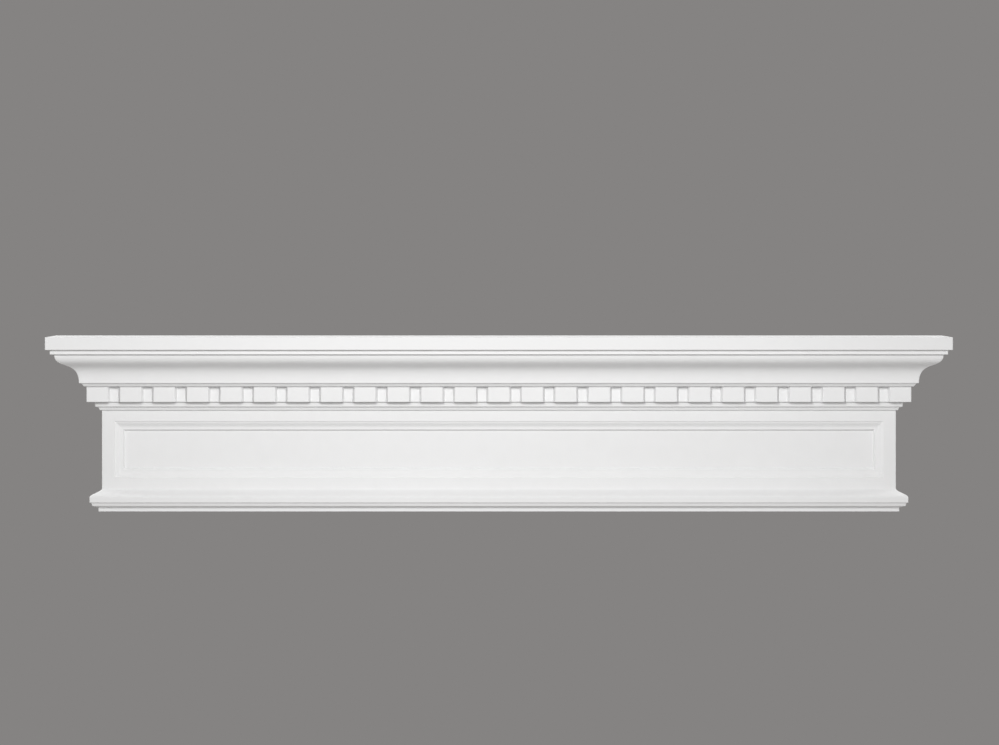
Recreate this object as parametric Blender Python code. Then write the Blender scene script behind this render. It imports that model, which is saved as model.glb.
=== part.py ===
"""Overdoor entablature: one white cast piece that is fixed to the wall over a door.

From its underside to its top it has a foot, a base moulding, a frieze with a sunk panel,
a bed moulding, a row of dentils, a large ogee and a weathered cap. The mouldings turn the
corner at both ends and return to the wall.

Metres, +X along the piece, +Y into the wall, +Z up. The origin is the middle of the flat
back. A projection is measured forwards from the face of the frieze, and a member's height
upwards from the member below it.
"""

import math

import bmesh
import bpy

# Size of the whole piece
CROWN_LENGTH = 1.275
FRIEZE_FACE_TO_WALL = 0.020

# Foot, which sits on the door casing
FOOT_HEIGHT = 0.0059
FOOT_PROJECTION = 0.0045

# Base moulding, whose underside rises outwards as a drip
BASE_DRIP_HEIGHT = 0.0022
BASE_BEVEL_HEIGHT = 0.0048
BASE_BEVEL_FOOT_PROJECTION = 0.0124
BASE_BEVEL_TOP_PROJECTION = 0.0139
BASE_NOSE_HEIGHT = 0.0073
BASE_NOSE_PROJECTION = 0.0160
BASE_OGEE_HEIGHT = 0.0125
BASE_OGEE_PULL = 0.0048
BASE_OGEE_FACETS = 8

# Frieze, and the panel sunk into it
FRIEZE_HEIGHT = 0.1115
PANEL_SIDE_MARGIN = 0.0180
PANEL_TOP_MARGIN = 0.0160
PANEL_FOOT_MARGIN = 0.0155
PANEL_QUIRK_WIDTH = 0.0004
PANEL_QUIRK_DEPTH = 0.0012
PANEL_OGEE_WIDTH = 0.0086
PANEL_OGEE_DEPTH = 0.0036
PANEL_OGEE_PULL = 0.0034
PANEL_OGEE_FACETS = 6
PANEL_FILLET_WIDTH = 0.0026
PANEL_STEP_WIDTH = 0.0021
PANEL_STEP_DEPTH = 0.0036

# Bed moulding under the dentils
BED_FILLET_HEIGHT = 0.0037
BED_FILLET_FOOT_PROJECTION = 0.0028
BED_FILLET_TOP_PROJECTION = 0.0043
BED_SPLAY_HEIGHT = 0.0016
BED_STRAP_HEIGHT = 0.0065
BED_STRAP_FOOT_PROJECTION = 0.0087
BED_STRAP_TOP_PROJECTION = 0.0093

# Dentils, with the splayed strip over them
DENTIL_HEIGHT = 0.0220
DENTIL_WIDTH = 0.0300
DENTIL_PROJECTION = 0.0197
DENTIL_GAP = 0.0175
DENTIL_GAP_DEPTH = 0.0066
DENTIL_GAP_DRAFT = 0.0029
SPLAY_HEIGHT = 0.0047
SPLAY_FOOT_PROJECTION = 0.0230
SPLAY_TOP_PROJECTION = 0.0266

# Crown
OGEE_HEIGHT = 0.0405
OGEE_FOOT_PROJECTION = 0.0294
OGEE_TOP_PROJECTION = 0.0606
OGEE_FOOT_PULL = 0.0340
OGEE_TOP_PULL = 0.0220
OGEE_FACETS = 16
CROWN_FILLET_HEIGHT = 0.0063
CROWN_FILLET_PROJECTION = 0.0660
CAP_HEIGHT = 0.0177
CAP_PROJECTION = 0.0720
WEATHERING_HEIGHT = 0.0028
WEATHERING_WIDTH = 0.0140

# Cutters reach this far past the faces that they cut
CUTTER_REACH = 0.0020

# Primed cast foam
PRIMER_COLOUR = (0.86, 0.86, 0.85, 1.0)
PRIMER_ROUGHNESS = 0.55
SMOOTH_ANGLE = math.radians(25)

FRIEZE_LENGTH = CROWN_LENGTH - 2 * CAP_PROJECTION
BASE_NOSE_FOOT = FOOT_HEIGHT + BASE_DRIP_HEIGHT + BASE_BEVEL_HEIGHT
BASE_HEIGHT = BASE_NOSE_FOOT + BASE_NOSE_HEIGHT + BASE_OGEE_HEIGHT
BED_HEIGHT = BED_FILLET_HEIGHT + BED_SPLAY_HEIGHT + BED_STRAP_HEIGHT
DENTIL_FOOT = BASE_HEIGHT + FRIEZE_HEIGHT + BED_HEIGHT
CROWN_HEIGHT = OGEE_HEIGHT + CROWN_FILLET_HEIGHT + CAP_HEIGHT + WEATHERING_HEIGHT
HEIGHT = DENTIL_FOOT + DENTIL_HEIGHT + SPLAY_HEIGHT + CROWN_HEIGHT


def ogee(start, end, start_pull, end_pull, facets):
    """Points of a cubic curve between two points of a profile, with both its ends upright.

    A point is (across, up). The pulls are how far the curve is drawn straight up or down
    from each end before it turns over.
    """
    rise = math.copysign(1.0, end[1] - start[1])
    points = []
    for facet in range(facets + 1):
        t = facet / facets
        near = (1 - t) ** 2 * (1 + 2 * t)
        across = start[0] * near + end[0] * (1 - near)
        up = (start[1] * (1 - t) ** 3
              + 3 * (start[1] + rise * start_pull) * (1 - t) ** 2 * t
              + 3 * (end[1] - rise * end_pull) * (1 - t) * t ** 2
              + end[1] * t ** 3)
        points.append((across, up))
    return points


def moulding_profile():
    """(projection, height) of the outline, from the front of the foot to the flat top."""
    profile = []

    def face(height, rise, foot_projection, top_projection):
        """Adds a straight face that starts at a height, and returns the height of its top."""
        profile.append((foot_projection, height))
        profile.append((top_projection, height + rise))
        return height + rise

    height = face(0.0, FOOT_HEIGHT, FOOT_PROJECTION, FOOT_PROJECTION)
    height += BASE_DRIP_HEIGHT
    height = face(height, BASE_BEVEL_HEIGHT, BASE_BEVEL_FOOT_PROJECTION, BASE_BEVEL_TOP_PROJECTION)
    profile.append((BASE_NOSE_PROJECTION, height))
    height += BASE_NOSE_HEIGHT
    profile += ogee((BASE_NOSE_PROJECTION, height), (0.0, height + BASE_OGEE_HEIGHT),
                    BASE_OGEE_PULL, BASE_OGEE_PULL, BASE_OGEE_FACETS)
    height += BASE_OGEE_HEIGHT + FRIEZE_HEIGHT
    profile.append((0.0, height))
    height = face(height, BED_FILLET_HEIGHT, BED_FILLET_FOOT_PROJECTION, BED_FILLET_TOP_PROJECTION)
    height += BED_SPLAY_HEIGHT
    height = face(height, BED_STRAP_HEIGHT, BED_STRAP_FOOT_PROJECTION, BED_STRAP_TOP_PROJECTION)
    height = face(height, DENTIL_HEIGHT, DENTIL_PROJECTION, DENTIL_PROJECTION)
    height = face(height, SPLAY_HEIGHT, SPLAY_FOOT_PROJECTION, SPLAY_TOP_PROJECTION)
    profile += ogee((OGEE_FOOT_PROJECTION, height), (OGEE_TOP_PROJECTION, height + OGEE_HEIGHT),
                    OGEE_FOOT_PULL, OGEE_TOP_PULL, OGEE_FACETS)
    height += OGEE_HEIGHT
    height = face(height, CROWN_FILLET_HEIGHT, CROWN_FILLET_PROJECTION, CROWN_FILLET_PROJECTION)
    height = face(height, CAP_HEIGHT, CAP_PROJECTION, CAP_PROJECTION)
    profile.append((CAP_PROJECTION - WEATHERING_WIDTH, height + WEATHERING_HEIGHT))
    return profile


def panel_profile():
    """(distance in from the panel's edge, depth) of the moulding around the sunk panel."""
    inwards = PANEL_QUIRK_WIDTH
    depth = PANEL_QUIRK_DEPTH
    profile = [(0.0, -CUTTER_REACH), (0.0, 0.0)]
    curve = ogee((depth, inwards), (depth + PANEL_OGEE_DEPTH, inwards + PANEL_OGEE_WIDTH),
                 PANEL_OGEE_PULL, PANEL_OGEE_PULL, PANEL_OGEE_FACETS)
    profile += [(along, sunk) for sunk, along in curve]
    inwards += PANEL_OGEE_WIDTH + PANEL_FILLET_WIDTH
    depth += PANEL_OGEE_DEPTH
    profile.append((inwards, depth))
    profile.append((inwards + PANEL_STEP_WIDTH, depth + PANEL_STEP_DEPTH))
    return profile


def add_ring_solid(mesh, rings):
    """A closed solid through rings of four points, with a flat cap on the first and last."""
    rows = []
    for ring in rings:
        rows.append([mesh.verts.new(point) for point in ring])
    for lower, upper in zip(rows, rows[1:]):
        for side in range(4):
            turn = (side + 1) % 4
            mesh.faces.new((lower[side], lower[turn], upper[turn], upper[side]))
    mesh.faces.new(rows[0])
    mesh.faces.new(rows[-1])


def finish_object(name, mesh):
    """Turns the faces outwards and puts the mesh into a new object."""
    bmesh.ops.recalc_face_normals(mesh, faces=mesh.faces)
    data = bpy.data.meshes.new(name)
    mesh.to_mesh(data)
    mesh.free()
    made = bpy.data.objects.new(name, data)
    bpy.context.collection.objects.link(made)
    return made


def moulded_body():
    """The moulding swept along the front and mitred round both ends, with a flat back."""
    mesh = bmesh.new()
    rows = []
    for projection, height in moulding_profile():
        side = FRIEZE_LENGTH / 2 + projection
        front = -FRIEZE_FACE_TO_WALL - projection
        level = height - HEIGHT / 2
        path = ((-side, 0.0), (-side, front), (side, front), (side, 0.0))
        rows.append([mesh.verts.new((x, y, level)) for x, y in path])
    for lower, upper in zip(rows, rows[1:]):
        for run in range(3):
            mesh.faces.new((lower[run], lower[run + 1], upper[run + 1], upper[run]))
    mesh.faces.new(rows[0])
    mesh.faces.new(rows[-1])
    mesh.faces.new([row[0] for row in rows] + [row[3] for row in reversed(rows)])
    return finish_object("overdoor_entablature", mesh)


def dentil_gaps():
    """One cutter for every gap between dentils, along the front and both returns.

    The dentils are flush with the corners. A return starts with a whole dentil at the
    corner, and a gap that would leave less than half a dentil at the wall runs out to it.
    """
    band_length = FRIEZE_LENGTH + 2 * DENTIL_PROJECTION
    band_side = band_length / 2
    band_depth = FRIEZE_FACE_TO_WALL + DENTIL_PROJECTION
    count = max(2, round((band_length + DENTIL_GAP) / (DENTIL_WIDTH + DENTIL_GAP)))
    gap = (band_length - count * DENTIL_WIDTH) / (count - 1)
    low = DENTIL_FOOT - HEIGHT / 2 - CUTTER_REACH
    high = DENTIL_FOOT - HEIGHT / 2 + DENTIL_HEIGHT
    slant = DENTIL_GAP_DRAFT / DENTIL_GAP_DEPTH
    mesh = bmesh.new()

    def wedge(start, end, start_draft, end_draft, place):
        """A block that narrows inwards; place turns (along, inwards) into (x, y)."""
        rings = []
        for inwards in (-CUTTER_REACH, DENTIL_GAP_DEPTH):
            first = start + start_draft * inwards
            last = end - end_draft * inwards
            corners = ((first, low), (last, low), (last, high), (first, high))
            rings.append([(*place(along, inwards), level) for along, level in corners])
        add_ring_solid(mesh, rings)

    for index in range(count - 1):
        start = DENTIL_WIDTH + index * (DENTIL_WIDTH + gap) - band_side
        wedge(start, start + gap, slant, slant,
              lambda along, inwards: (along, inwards - band_depth))

    start = DENTIL_WIDTH
    while start < band_depth:
        end = start + gap
        end_draft = slant
        if band_depth - end < DENTIL_WIDTH / 2:
            end = band_depth + CUTTER_REACH
            end_draft = 0.0
        for hand in (-1, 1):
            wedge(start, end, slant, end_draft,
                  lambda along, inwards: (hand * (band_side - inwards), along - band_depth))
        start = end + DENTIL_WIDTH
    return as_cutter(finish_object("dentil_gaps", mesh))


def frieze_panel():
    """The cutter for the sunk panel, with the moulding of its frame on its sides."""
    middle = BASE_HEIGHT + FRIEZE_HEIGHT / 2 - HEIGHT / 2
    side = FRIEZE_LENGTH / 2 - PANEL_SIDE_MARGIN
    top = middle + FRIEZE_HEIGHT / 2 - PANEL_TOP_MARGIN
    foot = middle - FRIEZE_HEIGHT / 2 + PANEL_FOOT_MARGIN
    mesh = bmesh.new()
    rings = []
    for inwards, depth in panel_profile():
        y = depth - FRIEZE_FACE_TO_WALL
        left, right = -side + inwards, side - inwards
        low, high = foot + inwards, top - inwards
        rings.append([(left, y, low), (right, y, low), (right, y, high), (left, y, high)])
    add_ring_solid(mesh, rings)
    return as_cutter(finish_object("frieze_panel", mesh))


def as_cutter(cutter):
    """Marks an object as a tool that cuts the body and is no piece itself."""
    cutter.hide_render = True
    cutter.display_type = "WIRE"
    return cutter


def primer_material():
    """The white primer that the casting leaves the mould with."""
    material = bpy.data.materials.new("white_primer")
    material.use_nodes = True
    shader = material.node_tree.nodes["Principled BSDF"]
    shader.inputs["Base Color"].default_value = PRIMER_COLOUR
    shader.inputs["Roughness"].default_value = PRIMER_ROUGHNESS
    shader.inputs["Metallic"].default_value = 0.0
    return material


def build_entablature():
    """The cast body, with the gaps and the panel cut out of it."""
    body = moulded_body()
    body.data.materials.append(primer_material())
    body.data.shade_smooth()
    body.data.set_sharp_from_angle(angle=SMOOTH_ANGLE)
    for cutter in (dentil_gaps(), frieze_panel()):
        cut = body.modifiers.new(cutter.name, "BOOLEAN")
        cut.operation = "DIFFERENCE"
        cut.solver = "EXACT"
        cut.object = cutter
    return body


for leftover in list(bpy.data.objects):
    bpy.data.objects.remove(leftover, do_unlink=True)
build_entablature()
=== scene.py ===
# %% [markdown]
# # Dressing a cast overdoor
#
# An overdoor is the white moulded beam that sits across the top of a door, fixed flat to the
# wall. This one shows no joint, so it is taken to be a single casting in rigid foam, primed
# white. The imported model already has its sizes, with knife-sharp edges. The lesson makes one
# fine surface from the same sizes with the soft edges of a casting, gives it a primer finish,
# and lights it as a studio would. The mesh is in metres, with +X along the beam, +Y into the
# wall and +Z up. Sizes of the moulding are written in millimetres, as on a maker's drawing.

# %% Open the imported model
import math

import bpy
import numpy as np
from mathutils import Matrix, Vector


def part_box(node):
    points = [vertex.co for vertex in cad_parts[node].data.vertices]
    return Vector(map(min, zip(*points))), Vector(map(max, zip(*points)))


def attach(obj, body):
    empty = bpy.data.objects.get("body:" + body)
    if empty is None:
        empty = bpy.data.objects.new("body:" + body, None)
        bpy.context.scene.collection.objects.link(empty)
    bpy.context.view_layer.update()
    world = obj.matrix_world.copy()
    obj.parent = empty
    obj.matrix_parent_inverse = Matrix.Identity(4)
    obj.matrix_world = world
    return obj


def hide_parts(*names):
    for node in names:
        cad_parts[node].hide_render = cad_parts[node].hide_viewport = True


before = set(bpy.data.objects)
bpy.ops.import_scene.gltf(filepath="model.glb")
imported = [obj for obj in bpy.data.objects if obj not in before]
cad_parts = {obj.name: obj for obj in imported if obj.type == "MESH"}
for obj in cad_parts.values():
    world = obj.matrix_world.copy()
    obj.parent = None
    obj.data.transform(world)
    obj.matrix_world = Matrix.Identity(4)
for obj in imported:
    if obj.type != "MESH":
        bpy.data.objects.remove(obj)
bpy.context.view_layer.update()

NODE = "overdoor_entablature"
MM = 0.001
low_corner, high_corner = (np.array(corner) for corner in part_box(NODE))
overall = (high_corner - low_corner) / MM
print("length, depth and height of the solid, in mm:", overall.round(1))

# %% [markdown]
# ## The members of the outline
#
# A moulding is designed as a stack of members, each with its own height and its own
# projection in front of the frieze. A table of a few named members is how a maker reads it,
# and it is easier to check against the real thing than a long list of points. The heights
# have to add up to the height of the solid, so the sum is printed beside it.

# %% The table of members
# name, rise, projection at its foot, projection at its top, all in mm
MEMBERS = (
    ("foot", 5.9, 4.5, 4.5),
    ("base drip", 2.2, 4.5, 12.4),
    ("base bevel", 4.8, 12.4, 13.9),
    ("base nose", 7.3, 16.0, 16.0),
    ("base ogee", 12.5, 16.0, 0.0),
    ("frieze", 111.5, 0.0, 0.0),
    ("bed fillet", 3.7, 2.8, 4.3),
    ("bed splay", 1.6, 4.3, 8.7),
    ("bed strap", 6.5, 8.7, 9.3),
    ("dentils", 22.0, 19.7, 19.7),
    ("splay", 4.7, 23.0, 26.6),
    ("crown ogee", 40.5, 29.4, 60.6),
    ("crown fillet", 6.3, 66.0, 66.0),
    ("cap", 17.7, 72.0, 72.0),
    ("weathering", 2.8, 72.0, 58.0),
)
rises = np.array([member[1] for member in MEMBERS])
level_of = {}
for member, top_level in zip(MEMBERS, np.cumsum(rises)):
    level_of[member[0]] = (top_level - member[1], top_level)
projection_of = {member[0]: member[2:] for member in MEMBERS}
cap_projection = projection_of["cap"][0]
frieze_to_wall = overall[1] - cap_projection
frieze_half = overall[0] / 2 - cap_projection
print("members add up to", rises.sum().round(3), "of", overall[2].round(3), "mm")
print("frieze stands", frieze_to_wall.round(2), "mm off the wall, half length", frieze_half.round(2))

# %% [markdown]
# ## Ogees
#
# The large moulding under the crown, the small one on the base and the one around the panel
# are all S curves. A cubic curve with both ends upright gives such an S from four numbers,
# and pulling one end further than the other makes it lean the way the real one does.

# %% The S curve
OGEE_PULLS = {"base ogee": (4.8, 4.8), "crown ogee": (34.0, 22.0)}
OGEE_STEPS = 24


def ogee(foot, top, foot_pull, top_pull, steps):
    """Points (across, up) of an S curve that leaves both its ends upright.

    With t running from 0 to 1, across eases from foot to top by 3tt - 2ttt, and up is the
    cubic whose two middle heights are foot_pull above the foot and top_pull below the top.
    """
    t = np.linspace(0.0, 1.0, steps + 1)
    rise = top[1] - foot[1]
    across = foot[0] + (top[0] - foot[0]) * t * t * (3 - 2 * t)
    up = foot[1] + 3 * t * (1 - t) ** 2 * foot_pull + 3 * t * t * (1 - t) * (rise - top_pull) + t**3 * rise
    return np.stack([across, up], axis=1)


# %% [markdown]
# ## Soft edges
#
# Nothing that comes out of a mould is sharp. Outer edges, which makers call arrises, are
# rounded by the mould and the primer, and inner corners fill a little. The bevel tool could
# do that on the finished mesh, but it struggles where mitres and dentils meet. Rounding the
# outline before it is carried along the beam is exact and costs nothing.

# %% Rounding an outline
ARRIS = 0.5
INNER_CORNER = 0.3
ARRIS_STEPS = 3
SHARP_TURN = math.radians(20)
MOST_OF_A_SIDE = 0.45


def soften(points, steps=ARRIS_STEPS, inner=INNER_CORNER):
    """Rounds every corner of an open outline that has the material on its left.

    A corner C is cut back to A and B, towards its two neighbours, and the cut is closed by
    the parabola (1-u)(1-u)A + 2u(1-u)C + uuB. Corners that turn left stick out and get the
    arris cut, those that turn right get the inner one, and gentle bends stay as they are.
    Returns the points and, for each, the number of the corner that it came from.
    """
    run = np.diff(points, axis=0)
    size = np.linalg.norm(run, axis=1)
    heading = np.arctan2(run[:, 1], run[:, 0])
    turn = np.remainder(np.diff(heading) + math.pi, 2 * math.pi) - math.pi
    cut = np.zeros(len(points))
    space = MOST_OF_A_SIDE * np.minimum(size[:-1], size[1:])
    wanted = np.where(turn > 0, ARRIS, inner) * (np.abs(turn) > SHARP_TURN)
    cut[1:-1] = np.minimum(wanted, space)
    back = np.vstack([run[:1], run]) / np.append(size[:1], size)[:, None]
    ahead = np.vstack([run, run[-1:]]) / np.append(size, size[-1:])[:, None]
    u = np.linspace(0.0, 1.0, steps + 1)[None, :, None]
    corner = points[:, None, :]
    start = corner - (back * cut[:, None])[:, None, :]
    end = corner + (ahead * cut[:, None])[:, None, :]
    rounded = (1 - u) ** 2 * start + 2 * u * (1 - u) * corner + u**2 * end
    kept = (cut[:, None] > 0) | (np.arange(steps + 1) == 0)
    source = np.repeat(np.arange(len(points)), steps + 1).reshape(kept.shape)
    return rounded[kept], source[kept]


# %% [markdown]
# ## The outline
#
# Each row of the surface is one point of the outline: its projection, its height, and
# whether it belongs to the face of the dentils, which steps back in the gaps. The members'
# corners and curves come first, and the softening then turns each corner into a few rows.

# %% Rows of the surface
SAME_POINT = 1e-6


def outline_corners():
    """The members' ends and curves, from the foot up, each with the name of its member."""
    points = []
    owners = []
    for name, _, foot, top in MEMBERS:
        start, end = (foot, level_of[name][0]), (top, level_of[name][1])
        pulls = OGEE_PULLS.get(name)
        stretch = ogee(start, end, *pulls, OGEE_STEPS) if pulls else np.array([start, end])
        points.append(stretch)
        owners += [name] * len(stretch)
    points = np.vstack(points)
    new = np.append(True, np.linalg.norm(np.diff(points, axis=0), axis=1) > SAME_POINT)
    return points[new], np.array(owners)[new]


underside_start = np.array([[0.0, 0.0]])
flat_top_end = np.array([[0.0, rises.sum()]])
corners, owners = outline_corners()
rows, source = soften(np.vstack([underside_start, corners, flat_top_end]))
rows, source = rows[1:-1], source[1:-1] - 1
row_projection, row_level = rows.T
row_is_dentil = (owners[source] == "dentils").astype(float)
print(len(corners), "corners and curve points became", len(rows), "rows")

# %% [markdown]
# ## The frame of the sunk panel
#
# From the frieze inwards there is a small quirk, an ogee, a flat fillet and a step down to
# the field. The depth of any place on the frieze follows from how far it is inside the
# panel's edge, measured to the nearest side, and that rule alone makes the mitres.

# %% Section through the panel's frame
PANEL_MARGIN_SIDE = 18.0
PANEL_MARGIN_TOP = 16.0
PANEL_MARGIN_FOOT = 15.5
QUIRK = (0.4, 1.2)
PANEL_OGEE = (8.6, 3.6)
PANEL_OGEE_PULL = 3.4
PANEL_OGEE_STEPS = 10
PANEL_FILLET = (2.6, 0.0)
PANEL_STEP = (2.1, 3.6)
PANEL_INNER_CORNER = 0.35
FLAT_BEYOND = (5.0, 0.0)


def panel_section():
    """(distance in from the edge, depth) across the frame, with rounded corners."""
    quirk = np.array(QUIRK)
    ogee_end = quirk + PANEL_OGEE
    curve = ogee(quirk[::-1], ogee_end[::-1], PANEL_OGEE_PULL, PANEL_OGEE_PULL, PANEL_OGEE_STEPS)
    fillet_end = ogee_end + PANEL_FILLET
    field = fillet_end + PANEL_STEP
    edge = np.zeros(2)
    section = np.vstack([edge - FLAT_BEYOND, edge, curve[:, ::-1], fillet_end, field, field + FLAT_BEYOND])
    return soften(section, inner=PANEL_INNER_CORNER)[0][1:-1]


frame_section = panel_section()
frame_inwards, frame_depth = frame_section.T
panel_side = frieze_half - PANEL_MARGIN_SIDE
panel_foot = level_of["frieze"][0] + PANEL_MARGIN_FOOT
panel_top = level_of["frieze"][1] - PANEL_MARGIN_TOP
print("the panel is", (2 * panel_side).round(1), "by", (panel_top - panel_foot).round(1), "mm and",
      frame_depth[-1].round(1), "deep")

# %% [markdown]
# The frame needs rows of its own on the frieze, because the surface can only bend where it
# has a row. They are put in at their heights, with no projection.

# %% Depth of the panel, and its rows


def panel_depth(x, level):
    """Depth below the frieze: the frame's section, read at the distance to the nearest edge."""
    inside = np.minimum(panel_side - np.abs(x), np.minimum(level - panel_foot, panel_top - level))
    return np.interp(inside, frame_inwards, frame_depth)


panel_rows = np.append(panel_foot + frame_inwards, panel_top - frame_inwards[::-1])
insert_at = np.searchsorted(row_level, panel_rows)
row_projection = np.insert(row_projection, insert_at, 0.0)
row_is_dentil = np.insert(row_is_dentil, insert_at, 0.0)
row_level = np.insert(row_level, insert_at, panel_rows)
print(len(panel_rows), "rows for the panel,", len(row_level), "in all")

# %% [markdown]
# ## Dentils
#
# A dentil band is a plain strap with gaps cut into it. The band starts and ends with a whole
# dentil flush with the corner, and the gaps share out what is left. Their sides lean, so
# that the casting could leave its mould, and that makes the depth of the band a plain
# function of the place along it.

# %% Gaps along the band
DENTIL_WIDTH = 30.0
USUAL_GAP = 17.5
GAP_DEPTH = 6.6
GAP_DRAFT = 2.9
GAP_STEPS = 2

band_projection = projection_of["dentils"][0]
band_half = frieze_half + band_projection
band_to_wall = frieze_to_wall + band_projection
dentil_count = round((2 * band_half + USUAL_GAP) / (DENTIL_WIDTH + USUAL_GAP))
gap_width = (2 * band_half - dentil_count * DENTIL_WIDTH) / (dentil_count - 1)
gap_corners = np.array([
    (0.0, 0.0), (GAP_DRAFT, GAP_DEPTH), (gap_width - GAP_DRAFT, GAP_DEPTH), (gap_width, 0.0)])
gap_section = soften(np.vstack([
    gap_corners[0] - FLAT_BEYOND, gap_corners, gap_corners[-1] + FLAT_BEYOND]), GAP_STEPS)[0][1:-1]
gap_starts = DENTIL_WIDTH - band_half + np.arange(dentil_count - 1) * (DENTIL_WIDTH + gap_width)
gap_x = (gap_starts[:, None] + gap_section[:, 0]).ravel()
gap_sunk = np.tile(gap_section[:, 1], dentil_count - 1)
print(dentil_count, "dentils of", DENTIL_WIDTH, "mm with gaps of", gap_width.round(2), "mm")

# %% [markdown]
# ## The path round the beam
#
# The outline travels along one end, round the corner, along the front and back to the wall
# at the other end. Each column of the surface is a ray: a point on the path of the frieze
# and the direction in which the outline is pushed out, which is slanted by 45 degrees at the
# corners. Pushing every point out along its own ray is what makes the mitres. A return has
# one whole dentil at the corner and then a gap that runs out to the wall.

# %% Rays along the path
CORNER_RADIUS = 0.8
CORNER_STEPS = 4
SAME_COLUMN_DIGITS = 4

front_x = np.unique(np.concatenate([
    gap_x, panel_side - frame_inwards, frame_inwards - panel_side]).round(SAME_COLUMN_DIGITS))
front_start = np.stack([front_x, np.full_like(front_x, -frieze_to_wall)], axis=1)
front_sunk = np.interp(front_x, gap_x, gap_sunk)

angle = np.linspace(0.0, math.pi / 2, CORNER_STEPS + 1)
corner_start = np.stack([
    frieze_half - CORNER_RADIUS * (1 - np.sin(angle)),
    -frieze_to_wall + CORNER_RADIUS * (1 - np.cos(angle))], axis=1)

return_section = gap_section[: len(gap_section) // 2]
return_y = np.append(return_section[:, 0] + DENTIL_WIDTH - band_to_wall, 0.0)
return_start = np.stack([np.full_like(return_y, frieze_half), return_y], axis=1)
return_sunk = np.append(return_section[:, 1], GAP_DEPTH)

right_start = np.vstack([corner_start, return_start])
right_outward = np.vstack([np.tile((1.0, -1.0), (len(corner_start), 1)),
                           np.tile((1.0, 0.0), (len(return_start), 1))])
right_sunk = np.append(np.zeros(len(corner_start)), return_sunk)
mirrored = np.array((-1.0, 1.0))
ray_start = np.vstack([right_start[::-1] * mirrored, front_start, right_start])
ray_outward = np.vstack([right_outward[::-1] * mirrored,
                         np.tile((0.0, -1.0), (len(front_x), 1)), right_outward])
ray_sunk = np.concatenate([right_sunk[::-1], front_sunk, right_sunk])
on_front = ray_outward[:, 0] == 0
print(len(ray_start), "rays,", on_front.sum(), "of them along the front")

# %% [markdown]
# ## The surface
#
# Now rows and rays meet in a grid. The projection of each crossing is the outline's own,
# less the depth of the gap if the row is on the dentils, less the depth of the panel. Flat
# cells stay four-sided. A cell on a mitre of the panel isn't flat, and is split along the
# diagonal whose ends differ most, which is the mitre itself.

# %% Grid of points and faces
FLAT_ENOUGH = 1e-4


def grid_points():
    """Points of the surface in metres, and how far each is pushed out, in mm."""
    depth_of_panel = panel_depth(ray_start[:, 0][None, :], row_level[:, None]) * on_front
    out = row_projection[:, None] - row_is_dentil[:, None] * ray_sunk - depth_of_panel
    flat = ray_start[None] + out[..., None] * ray_outward[None]
    level = np.repeat(row_level[:, None] - rises.sum() / 2, len(ray_start), axis=1)
    return np.dstack([flat, level]) * MM, out


def grid_faces(out):
    """Four-sided faces of the grid, with the ones that aren't flat split in two."""
    number = np.arange(out.size).reshape(out.shape)
    cells = [slice(None, -1), slice(1, None)]
    walk = [(cells[0], cells[0]), (cells[0], cells[1]), (cells[1], cells[1]), (cells[1], cells[0])]
    quads = np.stack([number[step] for step in walk], axis=-1).reshape(-1, 4)
    pushed = out.ravel()[quads]
    across = pushed[:, 0] - pushed[:, 2]
    other = pushed[:, 1] - pushed[:, 3]
    twist = pushed[:, 0] + pushed[:, 2] - pushed[:, 1] - pushed[:, 3]
    warped = np.abs(twist) > FLAT_ENOUGH
    first = warped & (np.abs(across) >= np.abs(other))
    second = warped & ~first
    split = [quads[first][:, [0, 1, 2]], quads[first][:, [0, 2, 3]],
             quads[second][:, [0, 1, 3]], quads[second][:, [1, 2, 3]]]
    return quads[~warped].tolist() + np.vstack(split).tolist(), number


points, out = grid_points()
faces, number = grid_faces(out)
print(out.shape[0], "rows by", out.shape[1], "rays give", len(faces), "faces")

# %% [markdown]
# The grid is open below, above and at the wall. Underside, top and back are flat, so a
# single face with many corners closes each of them, and the surface is one sealed skin.

# %% The casting
underside = number[0, ::-1].tolist()
flat_top = number[-1].tolist()
flat_back = number[:, 0].tolist() + number[::-1, -1].tolist()
mesh = bpy.data.meshes.new("overdoor_casting")
mesh.from_pydata(points.reshape(-1, 3), [], faces + [underside, flat_top, flat_back])
mesh.validate()
casting = bpy.data.objects.new("overdoor_casting", mesh)
bpy.context.collection.objects.link(casting)
print(len(mesh.vertices), "points,", len(mesh.polygons), "faces,",
      sum(len(face.vertices) - 2 for face in mesh.polygons), "triangles")

# %% [markdown]
# ## Shading across the soft edges
#
# Smooth shading lets the narrow rounded strips blend into each other. On its own it would
# also bend the light on the wide flat faces beside them. The Weighted Normal modifier lets
# the larger face decide, so that flats stay flat and only the edges turn.

# %% Smooth edges, flat faces
CREASE = math.radians(50)

mesh.shade_smooth()
mesh.set_sharp_from_angle(angle=CREASE)
weighted = casting.modifiers.new("flat_faces_win", "WEIGHTED_NORMAL")
weighted.mode = "FACE_AREA"
weighted.weight = 100
weighted.keep_sharp = True
print("edges that turn by more than", round(math.degrees(CREASE)), "degrees stay sharp")

# %% [markdown]
# ## Arithmetic for materials
#
# A material is a drawing of nodes. Written as Python expressions it stays readable: the
# class below wraps one output of a node, and adding or multiplying two of them puts the
# right Math node into the drawing.


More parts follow.
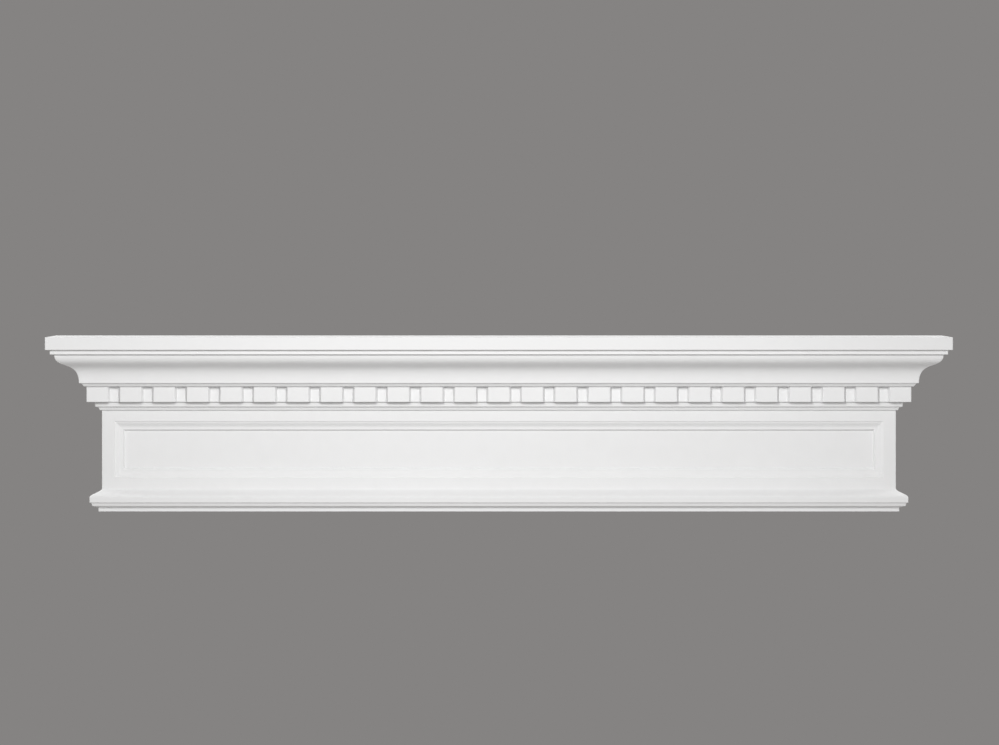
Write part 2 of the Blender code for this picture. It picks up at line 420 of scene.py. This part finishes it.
# %% Wires and nodes
class Wire:
    """One output of a node, with arithmetic on the number that it carries."""

    def __init__(self, tree, socket):
        self.tree = tree
        self.socket = socket

    def math(self, operation, *operands):
        sockets = dict(enumerate(operands))
        return add_node(self.tree, "ShaderNodeMath", {"operation": operation}, sockets)

    def __add__(self, other):
        return self.math("ADD", self, other)

    def __sub__(self, other):
        return self.math("SUBTRACT", self, other)

    def __rsub__(self, other):
        return self.math("SUBTRACT", other, self)

    def __mul__(self, other):
        return self.math("MULTIPLY", self, other)

    __radd__ = __add__
    __rmul__ = __mul__


def add_node(tree, kind, settings, sockets, output=0):
    """Adds a node: its settings first, then its sockets by name or number. Returns an output."""
    node = tree.nodes.new(kind)
    for name, value in settings.items():
        setattr(node, name, value)
    for name, value in sockets.items():
        if isinstance(value, Wire):
            tree.links.new(value.socket, node.inputs[name])
        else:
            node.inputs[name].default_value = value
    return Wire(tree, node.outputs[output])


def new_material(name):
    """An empty material with its shader, ready for wires."""
    material = bpy.data.materials.new(name)
    material.use_nodes = True
    return material, material.node_tree, material.node_tree.nodes["Principled BSDF"]


# %% [markdown]
# Three patterns are enough for both materials of the lesson: a soft noise, a smooth step
# that turns a noise into a mask, and a blend of two colours by a mask.


# %% Noise, step and blend
def noise(tree, place, per_metre, detail, stretch=(1.0, 1.0, 1.0)):
    """Soft noise from 0 to 1, with so many blots to the metre, drawn out along an axis."""
    placed = add_node(tree, "ShaderNodeMapping", {}, {"Vector": place, "Scale": stretch})
    return add_node(tree, "ShaderNodeTexNoise", {"noise_dimensions": "3D"},
                    {"Vector": placed, "Scale": per_metre, "Detail": detail, "Roughness": 0.5})


def smooth_step(tree, value, low, high):
    """0 below low, 1 above high, with a smooth ramp between."""
    return add_node(tree, "ShaderNodeMapRange", {"interpolation_type": "SMOOTHSTEP"},
                    {"Value": value, "From Min": low, "From Max": high})


def blend_colours(tree, share, first, second):
    """The first colour where share is 0 and the second where it is 1."""
    return add_node(tree, "ShaderNodeMix", {"data_type": "RGBA"},
                    {"Factor": share, 6: first, 7: second}, output=2)


# %% [markdown]
# ## Primer on cast foam
#
# The finish is a thin matt white primer. From a step away it looks plain, but it isn't: the
# white drifts a little along the beam, with a finer mottle on it. The photograph doesn't show
# the back. A casting's back lies against the mould's lid and needs no primer, so it is given
# only the foam's own skin, creamier and blotted.

# %% Tones of the film and of the skin
WHITE = (0.851, 0.855, 0.858, 1.0)
WHITE_LOW = (0.831, 0.834, 0.836, 1.0)
SKIN = (0.80, 0.78, 0.72, 1.0)
SKIN_LOW = (0.77, 0.745, 0.675, 1.0)
DRIFT_PER_METRE = 5.0
DRIFT_STRETCH = (0.5, 1.0, 1.6)
MOTTLE_PER_METRE = 55.0
SKIN_BLOTS_PER_METRE = 14.0
DRIFT_AND_MOTTLE = (0.65, 0.35)
BLOTS_AND_MOTTLE = (0.7, 0.3)
WHITE_RAMP = (0.35, 0.68)
SKIN_RAMP = (0.38, 0.62)


def film_tone(tree, place, mottle):
    """The primer's white: a slow drift, longer along the beam, with a third of mottle."""
    drift = noise(tree, place, DRIFT_PER_METRE, detail=2.0, stretch=DRIFT_STRETCH)
    shade = drift * DRIFT_AND_MOTTLE[0] + mottle * DRIFT_AND_MOTTLE[1]
    return blend_colours(tree, smooth_step(tree, shade, *WHITE_RAMP), WHITE_LOW, WHITE)


def skin_tone(tree, place, mottle):
    """The cream of the back: cloudy blots, with a third of mottle."""
    blots = noise(tree, place, SKIN_BLOTS_PER_METRE, detail=4.0)
    shade = blots * BLOTS_AND_MOTTLE[0] + mottle * BLOTS_AND_MOTTLE[1]
    return blend_colours(tree, smooth_step(tree, shade, *SKIN_RAMP), SKIN_LOW, SKIN)


# %% [markdown]
# The relief is all finer than half a millimetre: soft waves of the foam, the orange peel of
# the sprayed film, its grain, and a few pinholes where a bubble lay at the surface. Such fine
# relief would cost millions of faces, so a bump does it, and real geometry is left for what
# the eye can see in the outline.

# %% Relief of the film
RELIEF_METRES = 0.0002
RELIEF_STRENGTH = 0.6
# how many to the metre, and the share each has in the height of the relief
WAVES = (26.0, 0.9)
PEEL = (620.0, 0.6)
GRAIN = (2400.0, 0.06)
PINHOLES = (130.0, 0.7)
WAVES_STRETCH = (0.35, 1.0, 1.0)
EXTRA_GRAIN_ON_BACK = 0.12
PINHOLE_EDGE = (0.025, 0.06)


def film_relief(tree, place, on_back):
    """Waves, orange peel and grain added up, less the pinholes; the back has more grain."""
    waves = noise(tree, place, WAVES[0], detail=1.0, stretch=WAVES_STRETCH)
    peel = noise(tree, place, PEEL[0], detail=2.0)
    grain = noise(tree, place, GRAIN[0], detail=2.0)
    cells = add_node(tree, "ShaderNodeTexVoronoi", {"feature": "F1"},
                     {"Vector": place, "Scale": PINHOLES[0], "Randomness": 1.0}, output="Distance")
    pinhole = 1.0 - smooth_step(tree, cells, *PINHOLE_EDGE)
    grain_share = GRAIN[1] + on_back * EXTRA_GRAIN_ON_BACK
    return waves * WAVES[1] + peel * PEEL[1] + grain * grain_share - pinhole * PINHOLES[1]


# %% [markdown]
# The material puts them together. Everything reads Object coordinates, in metres, so that
# the pattern stays on the piece, and how near a place is to the wall tells primer from skin.

# %% The finish of the casting
SKIN_BEGINS = (-0.0009, -0.0002)
ROUGHNESS = 0.50
ROUGHER_WITH_MOTTLE = 0.10
ROUGHER_ON_BACK = 0.12
SHINE = 0.35


def primer_material():
    """Matt white primer over cast foam, with the bare skin on the back."""
    material, tree, shader = new_material("primed_cast_foam")
    place = add_node(tree, "ShaderNodeTexCoord", {}, {}, output="Object")
    towards_wall = add_node(tree, "ShaderNodeSeparateXYZ", {}, {"Vector": place}, output="Y")
    on_back = smooth_step(tree, towards_wall, *SKIN_BEGINS)
    mottle = noise(tree, place, MOTTLE_PER_METRE, detail=3.0)
    film = film_tone(tree, place, mottle)
    skin = skin_tone(tree, place, mottle)
    colour = blend_colours(tree, on_back, film, skin)
    roughness = ROUGHNESS + mottle * ROUGHER_WITH_MOTTLE + on_back * ROUGHER_ON_BACK
    relief = film_relief(tree, place, on_back)
    bump = add_node(tree, "ShaderNodeBump", {},
                    {"Height": relief, "Strength": RELIEF_STRENGTH, "Distance": RELIEF_METRES},
                    output="Normal")
    tree.links.new(colour.socket, shader.inputs["Base Color"])
    tree.links.new(roughness.socket, shader.inputs["Roughness"])
    tree.links.new(bump.socket, shader.inputs["Normal"])
    shader.inputs["Specular IOR Level"].default_value = SHINE
    print(material.name, "has", len(tree.nodes), "nodes")
    return material


mesh.materials.append(primer_material())
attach(casting, "root")
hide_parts(NODE)

# %% [markdown]
# ## Floor
#
# The beam hangs where a door would hold it, about two metres up, so the floor lies well
# below it. It is pale and plain, and bounces light back up under the mouldings, which
# would otherwise be too dark. It reaches far enough to fill the views from above, and its
# far edge stays just under the frame of the main view.

# %% A pale floor at the foot of the door
DOOR_HEIGHT = 2.1
FLOOR_SIDES = 30.0
FLOOR_BEHIND = 15.0
FLOOR_BEFORE = 40.0
FLOOR_LOW_TONE = (0.78, 0.775, 0.765, 1.0)
FLOOR_TONE = (0.83, 0.825, 0.815, 1.0)
FLOOR_CLOUDS_PER_METRE = 1.5
FLOOR_ROUGHNESS = 0.8


def floor_material():
    """Matt pale paint with faint clouds."""
    material, tree, shader = new_material("pale_floor")
    place = add_node(tree, "ShaderNodeTexCoord", {}, {}, output="Object")
    clouds = noise(tree, place, FLOOR_CLOUDS_PER_METRE, detail=3.0)
    colour = blend_colours(tree, clouds, FLOOR_LOW_TONE, FLOOR_TONE)
    tree.links.new(colour.socket, shader.inputs["Base Color"])
    shader.inputs["Roughness"].default_value = FLOOR_ROUGHNESS
    return material


def pale_floor():
    """A flat rectangle: its corners at the two sides, behind the beam and before it, one face."""
    level = low_corner[2] - DOOR_HEIGHT
    corners_x = np.array((-FLOOR_SIDES, FLOOR_SIDES, FLOOR_SIDES, -FLOOR_SIDES))
    corners_y = np.array((-FLOOR_BEFORE, -FLOOR_BEFORE, FLOOR_BEHIND, FLOOR_BEHIND))
    corner_points = np.stack([corners_x, corners_y, np.full(4, level)], axis=1)
    floor_mesh = bpy.data.meshes.new("studio_floor")
    floor_mesh.from_pydata(corner_points, [], [(0, 1, 2, 3)])
    floor_mesh.materials.append(floor_material())
    floor = bpy.data.objects.new("studio_floor", floor_mesh)
    bpy.context.collection.objects.link(floor)
    print("floor at", round(level, 3), "m")
    return floor


pale_floor()

# %% [markdown]
# ## The room
#
# The photograph has a plain grey background. The world is that grey, and it also lights the
# beam evenly from all around, as the walls of a studio do.

# %% A grey room
BACKGROUND = (133, 131, 130)


def linear(level):
    """An sRGB level from 0 to 255 as linear light: the 2.4 power above the toe."""
    return ((level / 255 + 0.055) / 1.055) ** 2.4


world = bpy.data.worlds.new("grey_room")
bpy.context.scene.world = world
world.use_nodes = True
room = world.node_tree.nodes["Background"]
room.inputs["Color"].default_value = (*(linear(level) for level in BACKGROUND), 1.0)
room.inputs["Strength"].default_value = 1.0
print("room at", [round(linear(level), 3) for level in BACKGROUND], "in linear light")

# %% [markdown]
# ## Studio light
#
# White mouldings read by their shadows, so the light is soft and comes almost from the
# camera, a little from above, with a weaker softbox on the right. Three more softboxes
# stand behind the plane of the wall, over the beam and off its two ends. They light the
# top, the ends, the back and the floor for the other views, and can't reach the front.

# %% Softboxes
MIDDLE = (0.0, -0.05, 0.0)
LAMPS = (
    # name, place in metres, width of the softbox, watts
    ("key_softbox", (-0.15, -1.7, 0.6), 0.6, 22.1),
    ("right_softbox", (1.4, -2.2, 0.4), 0.8, 5.6),
    ("ceiling_behind", (-0.1, 2.3, 2.6), 4.0, 55.0),
    ("left_end", (-2.6, 0.7, 1.0), 1.0, 32.0),
    ("right_end", (2.6, 0.7, 1.0), 1.0, 32.0),
)


def soft_lamp(name, place, aim, size, watts):
    """A square softbox at place that faces aim and isn't seen itself."""
    data = bpy.data.lights.new(name, "AREA")
    data.shape = "SQUARE"
    data.size = size
    data.energy = watts
    lamp = bpy.data.objects.new(name, data)
    bpy.context.collection.objects.link(lamp)
    towards = np.array(aim) - np.array(place)
    flat_distance = math.hypot(towards[0], towards[1])
    tilt = math.pi / 2 + math.atan2(towards[2], flat_distance)
    lamp.location = place
    lamp.rotation_euler = (tilt, 0.0, math.atan2(-towards[0], towards[1]))
    lamp.visible_camera = False
    return lamp


for lamp_name, lamp_place, lamp_width, lamp_watts in LAMPS:
    soft_lamp(lamp_name, lamp_place, MIDDLE, lamp_width, lamp_watts)
print(len(LAMPS), "lamps,", round(sum(lamp[3] for lamp in LAMPS), 1), "W in all")

# %% [markdown]
# ## Camera
#
# The photograph was taken square on. How far away the camera stood can't be read from it,
# so five metres and a long lens are assumed, and the projection of the crown was worked out
# from the beam's ends for that distance. The camera looks straight along +Y, and its height
# puts the beam at its place in the picture.

# %% The photographer's view
PICTURE = (999, 745)
FOCAL_PIXELS = 3490.0
CAMERA_TO_FRIEZE = 4.972
BEAM_CENTRE_PIXEL = (498.9, 424.0)
SENSOR_WIDTH = 36.0

camera_data = bpy.data.cameras.new("long_lens")
camera_data.sensor_width = SENSOR_WIDTH
camera_data.lens = SENSOR_WIDTH * FOCAL_PIXELS / PICTURE[0]
camera = bpy.data.objects.new("long_lens", camera_data)
bpy.context.collection.objects.link(camera)
metres_per_pixel = (CAMERA_TO_FRIEZE - cap_projection * MM / 2) / FOCAL_PIXELS
aside = (PICTURE[0] / 2 - BEAM_CENTRE_PIXEL[0]) * metres_per_pixel
above = (BEAM_CENTRE_PIXEL[1] - PICTURE[1] / 2) * metres_per_pixel
camera.location = (aside, -frieze_to_wall * MM - CAMERA_TO_FRIEZE, above)
camera.rotation_euler = (math.pi / 2, 0.0, 0.0)
bpy.context.scene.camera = camera
bpy.context.scene.view_settings.view_transform = "Standard"
print("camera", round(above, 4), "m above the middle of the beam, lens", round(camera_data.lens, 1), "mm")
